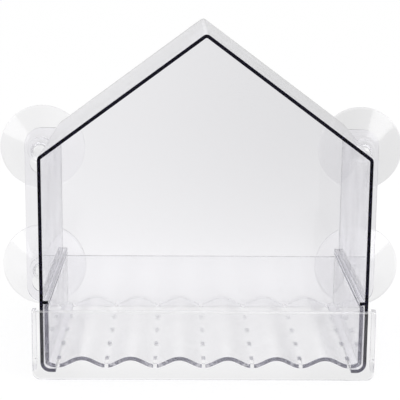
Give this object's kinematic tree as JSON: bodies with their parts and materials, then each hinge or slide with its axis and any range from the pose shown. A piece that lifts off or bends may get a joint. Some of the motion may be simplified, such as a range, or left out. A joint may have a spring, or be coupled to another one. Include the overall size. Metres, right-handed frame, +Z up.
{
  "type": "window bird feeder",
  "caption": "Clear house-shaped window bird feeder: moulded shell with pitched roof and side ears, pull-out seed tray with drained waved floor, hung from suction cups in keyholes.",
  "frame": {"origin": "on the window pane, at the centre of the four suction cups", "axes": "+X right and +Z up as seen from the garden, +Y into the pane"},
  "size_m": [0.2142, 0.1144, 0.1583],
  "materials": {
    "clear_plastic": "clear polished moulding",
    "soft_clear": "clear soft moulding"
  },
  "bodies": {
    "window_cups": {"cup_upper_left": "soft_clear", "cup_upper_right": "soft_clear", "cup_lower_left": "soft_clear", "cup_lower_right": "soft_clear"},
    "house": {"house_shell": "clear_plastic"},
    "tray": {"seed_tray": "clear_plastic"}
  },
  "joints": [
    {"name": "house_lift", "type": "slide", "parent": "window_cups", "child": "house", "axis": [0, 0, 1], "range_m": [0, 0.0064]},
    {"name": "tray_slide", "type": "slide", "parent": "house", "child": "tray", "axis": [0, -1, 0], "range_m": [0, 0.1]}
  ]
}
